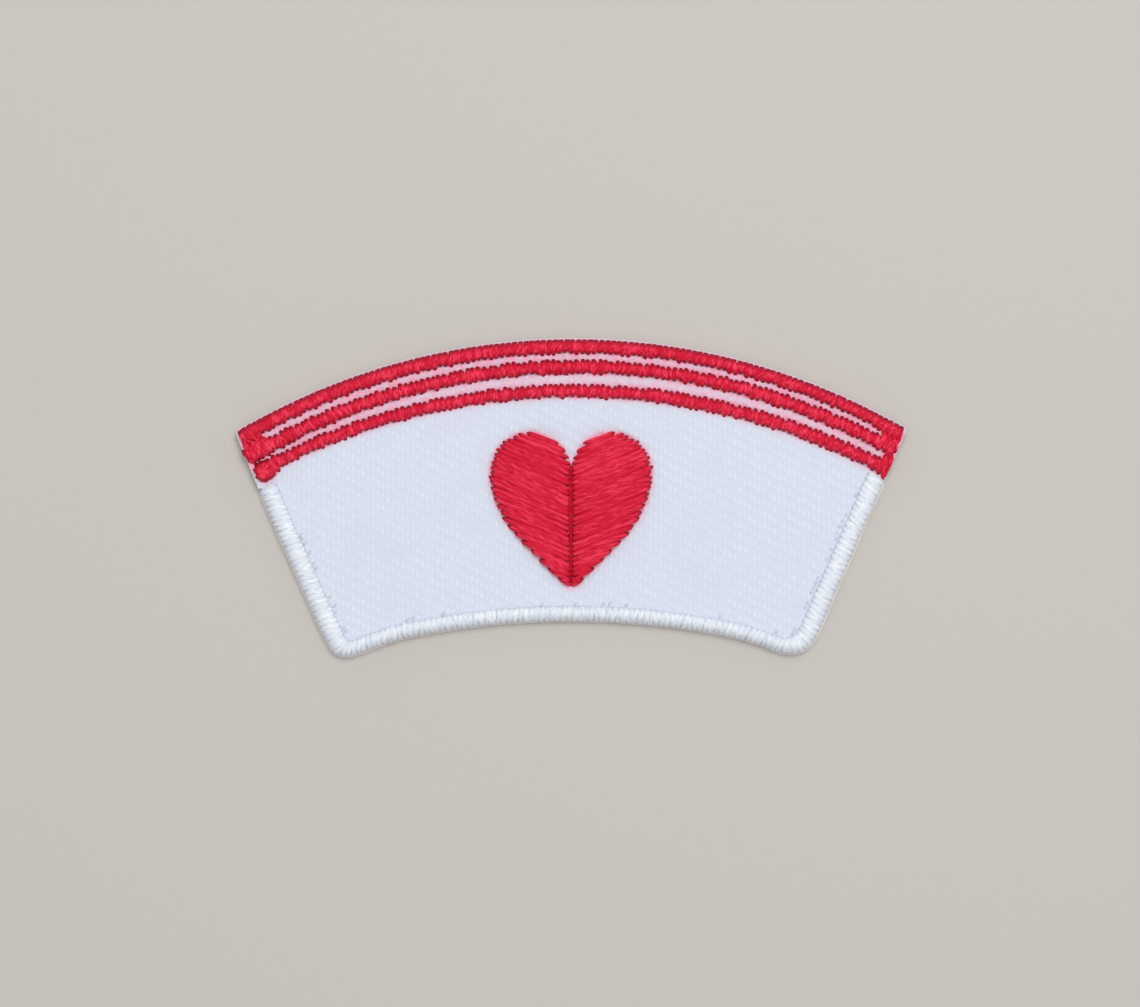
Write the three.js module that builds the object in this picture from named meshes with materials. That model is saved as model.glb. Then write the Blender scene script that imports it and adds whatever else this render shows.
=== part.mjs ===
// An embroidered patch shaped like a nurse's cap: a cut piece of stiffened twill with a satin-stitched
// border, three stitched stripes under the crown and a heart stitched in two halves on the front.
// It lies face up, as an iron-on patch is sold and stored. Millimetres, +X to the right, +Y to the crown,
// +Z out of the face; the origin is the middle of the underside.
import * as THREE from "three";

// The cut outline
const capWidth = 57.8; // between the crown's corners
const capHeight = 27.3; // from the crown's top to the feet
const crownRadius = 56.75; // of the arched top edge
const crownShift = 0.2; // the arch is struck from a centre this far to the right
const crownCornerCut = 0.55; // how far the crown's corners are rounded back
const footSpread = 40.4; // between the points where the side edges would meet the hem
const hemRise = 3.05; // the hem's middle above the feet
const hemRadius = 69.2; // of the hem's long hollow curve
const hemFlare = 0.5; // how much further the hem drops at each foot
const hemFlareLength = 6.5; // along the hem, at each foot
const leftSideBow = 0.15; // the left edge bulges outwards by this
const rightSideBow = -0.05; // the right edge is hollow by this
const leftFootCut = 1.7; // how far the left foot is rounded back from its point
const rightFootCut = 2.6;

// The cloth and the stitching on it
const groundThickness = 1.0; // twill with its stiff backing
const crownMargin = 0.14; // bare cloth between the crown's cut edge and the top stripe
const clothMargin = 0.05; // from the cap's side lines to the cloth, beside the stripes' ends
const pieceGap = 0.12; // between stitched pieces that lie side by side
const slowShare = 0.2; // of a stitched piece's height, built up slowly from its edges to its middle

const borderSideWidth = 1.68; // up the side edges
const borderHemWidth = 1.3; // along the hem
const borderHeight = 0.6;
const borderShoulder = 0.35; // up the outside of the cut edge, where the border begins to curve inwards
const borderCrest = 0.57; // of its width, from the outside to its highest line
const borderWrap = 0.2; // thickness of the threads that wrap the cut edge
const wrapClearance = 0.06; // between those threads and the cloth
const borderStart = 0.25; // clear cloth between the stripes' ends and the border

const stripeWidth = 1.17;
const stripeGap = 0.95; // the widest gap between two stripes
const stripeHeight = 0.6;
const stripeEndMargin = 0.3; // from the cap's side lines to the stripes' ends, at most

const heartWidth = 13.9;
const heartGapAbove = 3.0; // clear cloth below the lowest stripe
const heartGapBelow = 1.4; // clear cloth above the hem's border
const heartHeight = 0.75; // how far the stitching stands up
const heartSlant = 24; // degrees that its stitches climb outwards
const heartTipTrim = 0.06; // the first and last stitches are left off, as shares of each half's height
const heartTopTrim = 0.015;

// Each stripe's gap and width, as shares of stripeGap and stripeWidth, at its left end, middle and right
// end, then its ends: how far inside the side lines they lie, close up the gap above them, swell into a
// knot or are rounded back, as shares of stripeEndMargin, the lengths that follow and crownCornerCut.
const stripes = [
  {
    name: "stripe_top",
    gap: { left: 0, middle: 0, right: 0 },
    width: { left: 1.08, middle: 1, right: 0.93 },
    margin: { left: 0.7, right: 0.85 },
    closing: { left: 0, right: 0 },
    knot: 0,
    rounded: 1,
  },
  {
    name: "stripe_middle",
    gap: { left: 0.56, middle: 0.61, right: 0.42 },
    width: { left: 1.06, middle: 0.98, right: 1.02 },
    margin: { left: 0.3, right: 1 },
    closing: { left: 1, right: 0.85 },
    knot: 0,
    rounded: 0,
  },
  {
    name: "stripe_bottom",
    gap: { left: 0.26, middle: 1, right: 0.5 },
    width: { left: 0.93, middle: 0.93, right: 1.04 },
    margin: { left: 1, right: 0.7 },
    closing: { left: 0, right: 0.3 },
    knot: 1,
    rounded: 0,
  },
];
const closingLength = 2.3; // along a stripe's end that widens up to the stripe above it
const knotLength = 2.1; // along a stripe's left end that swells downwards
const knotDepth = 0.62;

// How finely the curves are divided
const crownSteps = 64;
const hemSteps = 56;
const sideSteps = 14;
const cornerSteps = 6;
const heartSteps = 22;
const sectionSteps = 8;

const white = 0xdfe5ef;
const whiteThread = 0xeef2fa;
const redThread = 0xd0203f;

const crownTop = capHeight / 2;
const crownCentre = new THREE.Vector2(crownShift, crownTop - crownRadius);
const { lerp, smoothstep } = THREE.MathUtils;

// Side is -1 for the left half and 1 for the right half.
const sideBow = { "-1": leftSideBow, 1: rightSideBow };
const footCut = { "-1": leftFootCut, 1: rightFootCut };

function crownCorner(side) {
  const x = (side * capWidth) / 2;
  const rise = Math.sqrt(crownRadius ** 2 - (x - crownCentre.x) ** 2);
  return new THREE.Vector2(x, crownCentre.y + rise);
}

// The hem at a place across the cap: a hollow arc that dips again at each foot.
function hemHeight(x) {
  const arc = hemRadius - Math.sqrt(hemRadius ** 2 - x ** 2);
  const flare = smoothstep(Math.abs(x), footSpread / 2 - hemFlareLength, footSpread / 2);
  return hemRise - capHeight / 2 - arc - hemFlare * flare;
}

function hemPoint(x, inset) {
  const step = 0.01;
  const slope = (hemHeight(x + step) - hemHeight(x - step)) / (2 * step);
  const up = new THREE.Vector2(-slope, 1).normalize();
  return new THREE.Vector2(x, hemHeight(x)).addScaledVector(up, inset);
}

// The side edge runs from the crown's corner (share 0) to the foot (share 1).
function sideNormal(side) {
  const corner = crownCorner(side);
  const foot = new THREE.Vector2((side * footSpread) / 2, hemHeight(footSpread / 2));
  const along = foot.sub(corner);
  return new THREE.Vector2(-side * along.y, side * along.x).normalize();
}

function sidePoint(side, share, inset) {
  const corner = crownCorner(side);
  const foot = new THREE.Vector2((side * footSpread) / 2, hemHeight(footSpread / 2));
  const bow = sideBow[side] * 4 * share * (1 - share);
  return corner.lerp(foot, share).addScaledVector(sideNormal(side), bow - inset);
}

function sideLength(side) {
  return sidePoint(side, 0, 0).distanceTo(sidePoint(side, 1, 0));
}

// A corner is rounded by a curve whose control point is the corner itself.
function roundedCorner(from, corner, to) {
  return new THREE.QuadraticBezierCurve(from, corner, to).getPoints(cornerSteps);
}

// Where the inset side edge meets the inset hem, found by halving along the side edge.
function footShare(side, sideInset, hemInset) {
  let [above, below] = [0.5, 1.1];
  for (let i = 0; i < 40; i++) {
    const middle = (above + below) / 2;
    const p = sidePoint(side, middle, sideInset);
    const lift = hemInset * Math.hypot(1, (hemHeight(p.x + 0.01) - hemHeight(p.x - 0.01)) / 0.02);
    if (p.y > hemHeight(p.x) + lift) above = middle;
    else below = middle;
  }
  return above;
}

// Down one side edge from a share of its length, round the foot and along the hem to the middle.
function halfEdge(side, startShare, sideInset, hemInset) {
  const end = footShare(side, sideInset, hemInset);
  const point = sidePoint(side, end, sideInset);
  const cut = Math.max(footCut[side] - (sideInset + hemInset) / 3, footCut[side] / 4);
  const turn = end - cut / sideLength(side);
  const down = Array.from({ length: sideSteps }, (_, i) =>
    sidePoint(side, lerp(startShare, turn, i / sideSteps), sideInset),
  );
  const hemStart = point.x - side * cut;
  const round = roundedCorner(sidePoint(side, turn, sideInset), point, hemPoint(hemStart, hemInset));
  const along = Array.from({ length: hemSteps / 2 }, (_, i) =>
    hemPoint(lerp(hemStart, 0, (i + 1) / (hemSteps / 2)), hemInset),
  );
  return [...down, ...round, ...along];
}

// Where the border's threads wrap it, the cloth is cut further in than beside the stripes' ends.
function halfCloth(side) {
  const inset = borderWrap + wrapClearance;
  const start = crownCornerCut / sideLength(side);
  const step = borderShare(side) - wrapClearance / sideLength(side);
  const besideStripes = [start, step].map((share) => sidePoint(side, share, clothMargin));
  return [...besideStripes, ...halfEdge(side, step, inset, inset)];
}

function cutOutline() {
  const cutAngle = crownCornerCut / crownRadius;
  const corner = (side) => onArc(crownRadius, endAngle(side, crownRadius, clothMargin));
  const [from, to] = [-1, 1].map((side) => endAngle(side, crownRadius, clothMargin) - side * cutAngle);
  const crown = [];
  for (let i = 0; i <= crownSteps; i++) crown.push(onArc(crownRadius, lerp(from, to, i / crownSteps)));
  const left = halfCloth(-1);
  const right = halfCloth(1).reverse().slice(1);
  const leftCorner = roundedCorner(crown[0], corner(-1), left[0]).slice(1, -1);
  const rightCorner = roundedCorner(right.at(-1), corner(1), crown.at(-1)).slice(1, -1);
  return [...left, ...right, ...rightCorner, ...crown.reverse(), ...leftCorner];
}

// A point on an arc struck from the crown's centre, at an angle from upright.
function onArc(radius, angle) {
  return new THREE.Vector2(0, radius).rotateAround(new THREE.Vector2(), -angle).add(crownCentre);
}

// The angle at which an arc under the crown comes within a margin of the side edge.
function endAngle(side, radius, margin) {
  const normal = sideNormal(side);
  const reach = normal.dot(crownCorner(side)) - margin - normal.dot(crownCentre);
  const lean = Math.atan2(normal.y, side * normal.x);
  return side * (Math.asin(reach / radius) - lean);
}

// How high a stitched column stands at a distance from its rail: round shoulders, then a slow rise.
function stitchHeight(distance, width, height) {
  const shoulder = Math.min(width, stripeWidth) / 2;
  const round = Math.sqrt(1 - (1 - Math.min(1, distance / shoulder)) ** 2);
  const slow = 1 - (1 - (2 * distance) / width) ** 2;
  return height * Math.min(1, width / stripeWidth) * lerp(round, slow, slowShare);
}

// A body lofted through sections, each a ring of points given as [across, up] between a row's two rails.
function loft(railA, railB, sectionOf) {
  const positions = [];
  const sections = railA.map((a, i) => sectionOf(a.distanceTo(railB[i])));
  sections.forEach((section, i) => {
    const across = railB[i].clone().sub(railA[i]).normalize();
    for (const [distance, height] of section) {
      const p = railA[i].clone().addScaledVector(across, distance);
      positions.push(p.x, p.y, height);
    }
  });
  const ring = sections[0].length;
  const index = [];
  for (let i = 0; i < railA.length - 1; i++) {
    const [here, next] = [i * ring, (i + 1) * ring];
    for (let j = 0; j < ring; j++) {
      const k = (j + 1) % ring;
      index.push(here + j, here + k, next + k, here + j, next + k, next + j);
    }
  }
  const last = (railA.length - 1) * ring;
  for (const [start, flip] of [[0, true], [last, false]]) {
    const flat = sections[start / ring].map(([x, y]) => new THREE.Vector2(x, y));
    for (const [p, q, r] of THREE.ShapeUtils.triangulateShape(flat, [])) {
      const turned = flip === THREE.ShapeUtils.isClockWise(flat);
      index.push(start + p, start + (turned ? q : r), start + (turned ? r : q));
    }
  }
  const geometry = new THREE.BufferGeometry();
  geometry.setAttribute("position", new THREE.Float32BufferAttribute(positions, 3));
  geometry.setIndex(index);
  return geometry;
}

// A satin-stitched column between two rails: flat where it lies on the cloth, domed on top.
function satinColumn(railA, railB, height) {
  return loft(railA, railB, (width) => {
    const section = [];
    for (let j = 0; j <= sectionSteps; j++) {
      const share = (1 - Math.cos((Math.PI * j) / sectionSteps)) / 2;
      const distance = Math.min(share, 1 - share) * width;
      const up = j % sectionSteps ? stitchHeight(distance, width, height) : 0;
      section.push([share * width, groundThickness + up]);
    }
    return section;
  });
}

// The border's section, from its outer rail: up the outside of the cut edge, over the crest, down to the
// cloth's face, and back under the threads to the table.
function borderSection(width) {
  const crest = width * borderCrest;
  const top = groundThickness + borderHeight;
  const section = [[0, 0]];
  for (let j = 0; j <= sectionSteps / 2; j++) {
    const angle = (Math.PI * j) / sectionSteps;
    section.push([crest * (1 - Math.cos(angle)), lerp(borderShoulder, top, Math.sin(angle))]);
  }
  for (let j = 1; j <= sectionSteps / 2; j++) {
    const angle = (Math.PI * j) / sectionSteps;
    section.push([lerp(crest, width, Math.sin(angle)), groundThickness + borderHeight * Math.cos(angle)]);
  }
  section.at(-1)[1] = groundThickness;
  return [...section, [borderWrap, groundThickness], [borderWrap, 0]];
}

function groundPiece() {
  const shape = new THREE.Shape(cutOutline());
  return new THREE.ExtrudeGeometry(shape, { depth: groundThickness, bevelEnabled: false });
}

// A value given at the left end, the middle and the right end of a stripe, at a place from -1 to 1.
function between(values, place) {
  const lean = (values.right - values.left) / 2;
  const bend = (values.right + values.left) / 2 - values.middle;
  return values.middle + lean * place + bend * place ** 2;
}

// The radii of each stripe's upper and lower edge at a place from -1 to 1, stacked down from the crown.
function stripeRadii(place) {
  let radius = crownRadius - crownMargin;
  return stripes.map((row) => {
    const gap = stripeGap * between(row.gap, place);
    const upper = radius - gap;
    radius = upper - stripeWidth * between(row.width, place);
    return { upper, lower: radius, gap };
  });
}

// How far an end has closed up the gap above it: wholly at the end, and not at all past its length.
function closed(share, distance) {
  const length = share * closingLength;
  return length > distance ? 1 - smoothstep(distance, length * 0.7, length) : 0;
}

// How far a knotted end hangs down, at a distance from that end: a round swelling.
function knotDrop(share, distance) {
  const length = share * knotLength;
  return length > distance ? knotDepth * Math.sin(Math.PI * lerp(0.18, 1, distance / length)) : 0;
}

// How far a rounded end is cut back, at a distance from that end: a quarter circle.
function cornerDrop(share, distance) {
  const radius = share * crownCornerCut;
  return radius > distance ? radius - Math.sqrt(radius ** 2 - (radius - distance) ** 2) : 0;
}

// Both edges of a stripe end at the same margin from the side edge, so that its ends follow the cut.
function stripePoint(radius, place, margin) {
  const left = endAngle(-1, radius, stripeEndMargin * margin.left);
  const right = endAngle(1, radius, stripeEndMargin * margin.right);
  return onArc(radius, lerp(left, right, (place + 1) / 2));
}

function stripeRails(rowIndex) {
  const { margin, closing, knot, rounded } = stripes[rowIndex];
  const rails = [[], []];
  const endPoint = (end) => stripePoint(stripeRadii(end)[rowIndex].upper, end, margin);
  const [leftEnd, rightEnd] = [endPoint(-1), endPoint(1)];
  for (let i = 0; i <= crownSteps; i++) {
    const place = Math.sin((Math.PI / 2) * ((2 * i) / crownSteps - 1));
    const { upper, lower, gap } = stripeRadii(place)[rowIndex];
    const here = stripePoint(upper, place, margin);
    const fromLeft = here.distanceTo(leftEnd);
    const fromRight = here.distanceTo(rightEnd);
    const closure = Math.max(closed(closing.left, fromLeft), closed(closing.right, fromRight));
    const rise = (gap - pieceGap) * closure;
    const drop = cornerDrop(rounded, Math.min(fromLeft, fromRight));
    rails[0].push(stripePoint(upper + rise - drop, place, margin));
    rails[1].push(stripePoint(lower - knotDrop(knot, fromLeft), place, margin));
  }
  return rails;
}

// The side border begins where the lowest stripe's end leaves off.
function borderShare(side) {
  const knot = side < 0 ? knotDepth * stripes.at(-1).knot : 0;
  const radius = stripeRadii(side).at(-1).lower - knot - borderStart;
  const place = onArc(radius, endAngle(side, radius, 0));
  return place.distanceTo(crownCorner(side)) / sideLength(side);
}

function borderRail(sideInset, hemInset) {
  const left = halfEdge(-1, borderShare(-1), sideInset, hemInset);
  const right = halfEdge(1, borderShare(1), sideInset, hemInset).reverse().slice(1);
  return [...left, ...right];
}

// Outer rail first, running from the right foot's side to the left's, so that the faces point outwards.
function borderPiece() {
  const outer = borderRail(0, 0).reverse();
  const inner = borderRail(borderSideWidth, borderHemWidth).reverse();
  return loft(outer, inner, borderSection);
}

// The heart's right half: a round lobe that tapers along a full curve to the point.
function heartHalf() {
  const top = stripeRadii(0).at(-1).lower + crownCentre.y - heartGapAbove;
  const point = hemHeight(0) + borderHemWidth + heartGapBelow;
  const inner = pieceGap / 2;
  const lobe = (heartWidth / 2 - inner) / 2;
  const middle = new THREE.Vector2(inner + lobe, top - lobe);
  const path = new THREE.Path();
  path.absarc(middle.x, middle.y, lobe, Math.PI, 0, true);
  const belly = lerp(middle.y, point, 0.42);
  path.bezierCurveTo(inner + 2 * lobe, belly, inner + lobe * 0.95, lerp(belly, point, 0.42), inner, point);
  return path.getPoints(heartSteps);
}

// The two places where a slanted line crosses a closed outline.
function crossings(outline, normal, distance) {
  const found = [];
  outline.forEach((p, i) => {
    const q = outline[(i + 1) % outline.length];
    const [dp, dq] = [p.dot(normal) - distance, q.dot(normal) - distance];
    if (dp < 0 !== dq < 0) found.push(p.clone().lerp(q, dp / (dp - dq)));
  });
  return found.sort((a, b) => a.x - b.x);
}

function heartRails(side) {
  const outline = heartHalf();
  const slant = THREE.MathUtils.degToRad(heartSlant);
  const normal = new THREE.Vector2(-Math.sin(slant), Math.cos(slant));
  const reach = outline.map((p) => p.dot(normal));
  const [low, high] = [Math.min(...reach), Math.max(...reach)];
  const rails = [[], []];
  for (let i = 0; i <= heartSteps; i++) {
    const share = 0.5 - 0.5 * Math.cos(Math.PI * lerp(heartTipTrim, 1 - heartTopTrim, i / heartSteps));
    const ends = crossings(outline, normal, lerp(low, high, share));
    ends.forEach((p, k) => rails[k].push(new THREE.Vector2(side * p.x, p.y)));
  }
  return side > 0 ? rails : [rails[1], rails[0]];
}

function material(name, color, roughness) {
  return new THREE.MeshStandardMaterial({ name, color, roughness, metalness: 0 });
}

function piece(name, geometry, surface) {
  const mesh = new THREE.Mesh(geometry, surface);
  mesh.name = name;
  return mesh;
}

const twill = material("white_twill", white, 0.9);
const whiteSatin = material("white_thread", whiteThread, 0.5);
const redSatin = material("red_thread", redThread, 0.45);

const patch = new THREE.Group();
patch.add(piece("twill_ground", groundPiece(), twill));
patch.add(piece("edge_border", borderPiece(), whiteSatin));
stripes.forEach(({ name }, i) => {
  patch.add(piece(name, satinColumn(...stripeRails(i), stripeHeight), redSatin));
});
patch.add(piece("heart_left", satinColumn(...heartRails(-1), heartHeight), redSatin));
patch.add(piece("heart_right", satinColumn(...heartRails(1), heartHeight), redSatin));

// The middle of the underside is the origin.
const size = new THREE.Box3().setFromObject(patch);
patch.position.set(-(size.min.x + size.max.x) / 2, -(size.min.y + size.max.y) / 2, 0);

export default patch;
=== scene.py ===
# A small embroidered patch in the shape of a nurse's cap, lying face up. Every satin stitch is a thread of
# its own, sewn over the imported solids, and the twill between them has its raised ribs.
import math
import random

import bmesh
import bpy
from mathutils import Matrix, Vector, noise
from mathutils.bvhtree import BVHTree


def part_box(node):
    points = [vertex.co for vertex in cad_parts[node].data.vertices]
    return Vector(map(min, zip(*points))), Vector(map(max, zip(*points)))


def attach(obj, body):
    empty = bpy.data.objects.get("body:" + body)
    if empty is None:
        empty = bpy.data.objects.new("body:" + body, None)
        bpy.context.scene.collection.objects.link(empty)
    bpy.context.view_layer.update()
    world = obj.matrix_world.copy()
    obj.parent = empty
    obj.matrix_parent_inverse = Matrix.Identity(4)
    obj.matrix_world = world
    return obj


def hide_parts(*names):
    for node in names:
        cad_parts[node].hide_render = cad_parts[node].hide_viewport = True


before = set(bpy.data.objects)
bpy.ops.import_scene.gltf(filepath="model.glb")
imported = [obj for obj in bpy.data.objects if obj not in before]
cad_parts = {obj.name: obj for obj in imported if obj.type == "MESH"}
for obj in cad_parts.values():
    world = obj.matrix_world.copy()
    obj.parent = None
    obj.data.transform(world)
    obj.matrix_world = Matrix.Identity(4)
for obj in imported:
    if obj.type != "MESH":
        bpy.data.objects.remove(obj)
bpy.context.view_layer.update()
mm = 0.001
hair = 0.01 * mm  # heights this close count as one
sharp = 1  # radians that an edge turns through at a corner
probeHeight = 5 * mm  # above the cloth, where rays down onto it start
up = Vector((0, 0, 1))
dice = random.Random(7)


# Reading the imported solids

def solidCopy(node):
    bm = bmesh.new()
    bm.from_mesh(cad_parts[node].data)
    bmesh.ops.remove_doubles(bm, verts=bm.verts, dist=0.001 * mm)
    return bm


def treeOf(node):
    bm = solidCopy(node)
    tree = BVHTree.FromBMesh(bm)
    bm.free()
    return tree


redNodes = ["stripe_top", "stripe_middle", "stripe_bottom", "heart_left", "heart_right"]
trees = {node: treeOf(node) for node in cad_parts}
stitchedNodes = [node for node in trees if node != "twill_ground"]
clothLow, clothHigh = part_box("twill_ground")
clothTop = clothHigh.z
clothWidth = clothHigh.x - clothLow.x
clothLength = clothHigh.y - clothLow.y
print("frame read:", ", ".join(trees))


def topOf(node, place):  # height of a solid's upper side over a place, or None beside it
    hit = trees[node].ray_cast(Vector((place.x, place.y, clothTop + probeHeight)), -up)[0]
    return hit.z if hit else None


def underStitching(place):
    return any(topOf(node, place) is not None for node in stitchedNodes)


def between(low, high, share):
    return low + (high - low) * share


def cutEdge():  # the cloth's outline in order, from the top of the crown
    bm = solidCopy("twill_ground")
    tops = [vert for vert in bm.verts if vert.co.z > clothTop - hair]
    walls = [edge for edge in bm.edges if all(vert in tops for vert in edge.verts)
             and edge.calc_face_angle(0) > sharp]
    links = {}
    for edge in walls:
        for vert in edge.verts:
            links.setdefault(vert, []).append(edge.other_vert(vert))
    here = max(tops, key=lambda vert: vert.co.y)
    order = [here]
    ahead = min(links[here], key=lambda vert: vert.co.x)
    while ahead is not order[0]:
        order.append(ahead)
        ahead = next(vert for vert in links[ahead] if vert is not order[-2])
    points = [vert.co.copy() for vert in order]
    bm.free()
    return points + points[:1]


def walked(points, step):  # places at even steps along a line of points
    places = []
    left = 0
    for start, end in zip(points, points[1:]):
        length = (end - start).length
        while left < length:
            places.append(start.lerp(end, left / length))
            left += step
        left -= length
    return places


# Shader helpers

class Wire:  # an output socket that can stand in a sum
    def __init__(self, finish, socket):
        self.finish = finish
        self.socket = socket

    def maths(self, operation, first, second):
        return self.finish.add("ShaderNodeMath", {"operation": operation}, {0: first, 1: second})

    def __add__(self, other):
        return self.maths("ADD", self, other)

    def __radd__(self, other):
        return self.maths("ADD", other, self)

    def __sub__(self, other):
        return self.maths("SUBTRACT", self, other)

    def __rsub__(self, other):
        return self.maths("SUBTRACT", other, self)

    def __mul__(self, other):
        return self.maths("MULTIPLY", self, other)

    def __rmul__(self, other):
        return self.maths("MULTIPLY", other, self)


class Finish:  # a material in the making
    def __init__(self, name):
        self.material = bpy.data.materials.new(name)
        self.material.use_nodes = True
        self.nodes = self.material.node_tree.nodes
        self.surface = self.nodes["Principled BSDF"]

    def add(self, kind, settings, values, output=0):
        node = self.nodes.new(kind)
        for key, value in settings.items():
            setattr(node, key, value)
        for key, value in values.items():
            self.join(value, node.inputs[key])
        return Wire(self, node.outputs[output])

    def join(self, value, socket):
        if isinstance(value, Wire):
            self.material.node_tree.links.new(value.socket, socket)
        else:
            socket.default_value = value

    def mix(self, share, first, second):
        return self.add("ShaderNodeMix", {"data_type": "RGBA"}, {0: share, 6: first, 7: second}, 2)

    def spread(self, value, low, high):  # 0 below low, 1 above high, smooth between
        settings = {"interpolation_type": "SMOOTHSTEP"}
        return self.add("ShaderNodeMapRange", settings, {0: value, 1: low, 2: high})

    def place(self):
        return self.add("ShaderNodeTexCoord", {}, {}, "Object")

    def attribute(self, name):
        return self.add("ShaderNodeAttribute", {"attribute_name": name}, {}, "Fac")

    def joined(self, x, y, z):
        return self.add("ShaderNodeCombineXYZ", {}, {"X": x, "Y": y, "Z": z})

    def speckle(self, place, scale=1, detail=2, roughness=0.5):
        values = {"Vector": place, "Scale": scale, "Detail": detail, "Roughness": roughness}
        return self.add("ShaderNodeTexNoise", {}, values)

    def stretched(self, coordinates, scale):
        values = {"Vector": coordinates, "Scale": scale}
        return self.add("ShaderNodeMapping", {"vector_type": "POINT"}, values)

    def bump(self, height, strength, distance):
        values = {"Strength": strength, "Distance": distance, "Height": height}
        return self.add("ShaderNodeBump", {}, values)

    def wear(self, **values):  # values and links of the surface itself
        for key, value in values.items():
            self.join(value, self.surface.inputs[key.replace("_", " ")])
        return self.material


# Starting a mesh, and making it a piece of the patch

def newMesh(names):  # with a number of each name for every vertex, for its finish to read
    bm = bmesh.new()
    for name in names:
        bm.verts.layers.float.new(name)
    return bm, [bm.verts.layers.float[name] for name in names]


def finished(bm, name, material):
    for face in bm.faces:
        face.smooth = True
    mesh = bpy.data.meshes.new(name)
    bm.to_mesh(mesh)
    bm.free()
    mesh.materials.append(material)
    piece = bpy.data.objects.new(name, mesh)
    bpy.context.collection.objects.link(piece)
    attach(piece, "root")
    return piece


# Twill: white polyester with a diagonal rib, with painted pink bounce light beside the red thread

twill = {
    "column": 0.425 * mm,  # between the ribs' warp yarns
    "float": 0.99 * mm,  # from one raised yarn to the next in a column
    "step": 0.226 * mm,  # each column starts this much lower than the one to its left
    "yarnHalfWidth": 0.205 * mm,
    "yarnHalfLength": 0.4 * mm,
    "yarnHeight": 0.034 * mm,
    "scatter": (0.03, 0.07),  # millimetres that a raised yarn strays across and along its column
    "lean": 0.06,
    "toneRange": (0.6, 1),  # of the raised yarns
    "gap": 1.1 * mm,  # two pieces of red stitching this close paint red bounce light on all the cloth between them
    "ribGap": 0.72 * mm,  # and closer than this they leave no room for ribs
    "clear": 0.12 * mm,  # between a raised yarn and the cut edge
    "cell": 0.24 * mm,  # of the cloth's own grid
    "flat": 0.9,  # a normal that rises more than this is the solid's upper side
    "sloped": 0.5,  # and one of the ground that rises more belongs to its flat area
    "shoulder": 0.1 * mm,
    "rounding": [(0.04, 0.38), (0.16, 0.34), (0.3, 0.2), (0.5, 0.08)],  # in shares of it, in and up
    "pucker": 0.03 * mm,
    "puckerSize": 5 * mm,
    "puckerSlice": 3,  # of the noise
    "dip": 0.03 * mm,  # where stitching pulls the cloth down
    "dipReach": 0.4 * mm,
    "borderShadeReach": 0.42 * mm,
    "borderShadeFade": 0.7,
    "redBounceReach": 0.13 * mm,
    "redBounceNear": 1.2 * mm,  # further from the red than this the twill stays white
    "gapRedBounce": (0.26, 0.44),  # the even painted red bounce light all over a wide gap, and over a narrow one
    # colour: the raised yarns' painted highlight; weftShadeColour: painted shade on the cloth between them
    "colour": (0.785, 0.83, 0.918, 1),
    "weftShadeColour": (0.67, 0.72, 0.825, 1),
    "cloudColour": (0.71, 0.71, 0.82, 1),
    "borderShadeColour": (0.715, 0.765, 0.865, 1),
    "redBounceColour": (0.97, 0.40, 0.54, 1),
    "backColour": (0.66, 0.66, 0.64, 1),
    "backGrainColour": (0.5, 0.5, 0.5, 1),
    "fibreScale": (9000, 2500, 9000),  # to the metre, finer across the raised yarns than along them
    "cloudScale": 260,
    "cloudRange": (0.42, 0.7),
    "cloudShare": 0.5,
    "grainScale": 2600,
    "grainRange": (0.37, 0.63),
    "mottling": (0.6, 0.85),  # the share of the painted red bounce light that shows everywhere, and what the grain adds
    "ridgeLightRange": (0.2, 1),
    "ridgeLightShare": 0.65,  # of the weave's tone comes from the raised yarns' painted highlight, lighter towards each crest, and the rest from fibres
    "backRange": (0.45, 0.6),  # shares of the cloth's height over which the front turns into the back
    "backGrainShare": 0.3,
    "roughness": 0.82,
    "fibreRoughness": 0.12,  # what the fibres add to it
    "fibreRelief": 0.6,  # the fibres' share of the bumps, and the rest is grain
}
twillMarks = ["redBounce", "borderShade", "rib"]  # what its finish reads from its meshes


def twillFinish():
    finish = Finish("whiteTwill")
    place = finish.place()
    height = finish.add("ShaderNodeSeparateXYZ", {}, {"Vector": place}, "Z")
    fibres = finish.speckle(finish.stretched(place, twill["fibreScale"]), detail=3, roughness=0.6)
    clouds = finish.spread(finish.speckle(place, twill["cloudScale"], detail=1), *twill["cloudRange"])
    grain = finish.speckle(place, twill["grainScale"], detail=4)
    # painted highlight on the raised yarns, lighter towards their crests and by a random tone, and painted
    # shade on the cloth between them
    ridges = finish.spread(finish.attribute("rib"), *twill["ridgeLightRange"])
    tone = ridges * twill["ridgeLightShare"] + fibres * (1 - twill["ridgeLightShare"])
    weave = finish.mix(tone, twill["weftShadeColour"], twill["colour"])
    clouded = finish.mix(clouds * twill["cloudShare"], weave, twill["cloudColour"])
    # painted shade in the valley beside the border
    borderShaded = finish.mix(finish.attribute("borderShade"), clouded, twill["borderShadeColour"])
    even, extra = twill["mottling"]
    # painted pink light bounced from the red thread, mottled by the grain
    mottled = finish.attribute("redBounce") * (even + finish.spread(grain, *twill["grainRange"]) * extra)
    front = finish.mix(mottled, borderShaded, twill["redBounceColour"])
    back = finish.mix(grain * twill["backGrainShare"], twill["backColour"], twill["backGrainColour"])
    below = 1 - finish.spread(height, *[clothTop * share for share in twill["backRange"]])
    relief = fibres * twill["fibreRelief"] + grain * (1 - twill["fibreRelief"])
    return finish.wear(
        Base_Color=finish.mix(below, front, back),
        Roughness=twill["roughness"] + fibres * twill["fibreRoughness"],
        Normal=finish.bump(relief, strength=0.35, distance=0.03 * mm),
        Specular_IOR_Level=0.3,
        Sheen_Weight=0.15,
        Sheen_Roughness=0.5,
    )


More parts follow.
